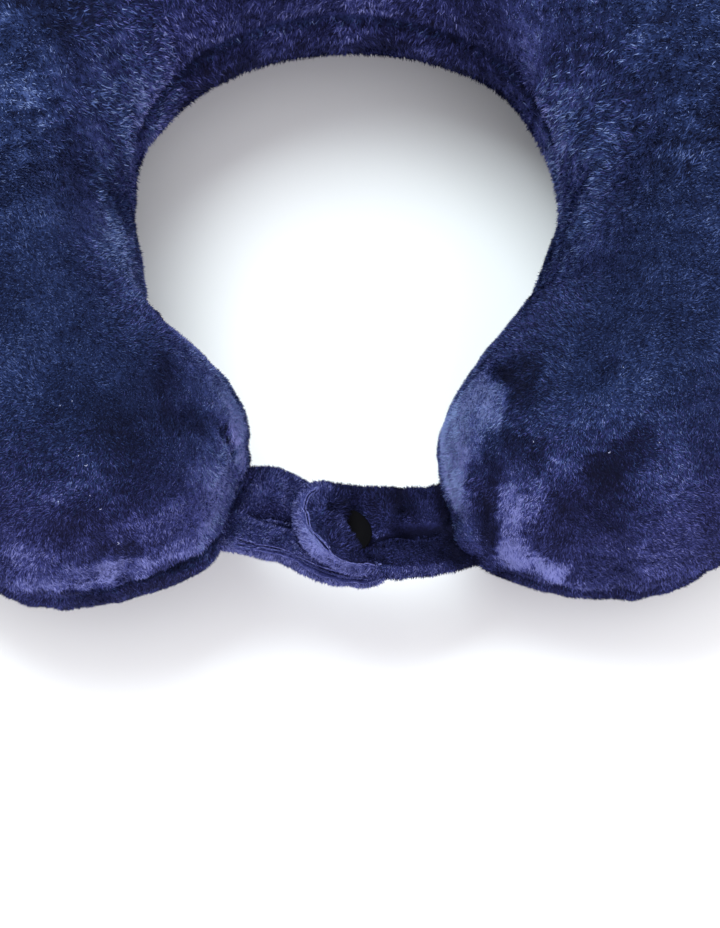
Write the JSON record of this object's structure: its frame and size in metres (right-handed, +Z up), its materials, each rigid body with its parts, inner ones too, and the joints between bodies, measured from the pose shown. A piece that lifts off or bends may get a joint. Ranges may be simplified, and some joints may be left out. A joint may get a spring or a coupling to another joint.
{
  "type": "neck pillow",
  "caption": "U-shaped plush travel neck pillow lying flat, its two rounded ends joined by overlapping padded straps with a snap.",
  "frame": {"origin": "on the surface it lies on, under the middle of the whole outline", "axes": "+X to the right as seen from the strap side, +Y from the straps to the back of the neck, +Z up out of the surface"},
  "size_m": [0.308, 0.28, 0.1],
  "materials": {
    "plush": "navy short-pile plush, matt with a soft sheen",
    "black_plastic": "matt black moulded plastic"
  },
  "bodies": {
    "root": {"pillow_body": "plush", "strap_left": "plush", "strap_right": "plush", "snap_cap": "black_plastic"}
  },
  "joints": []
}
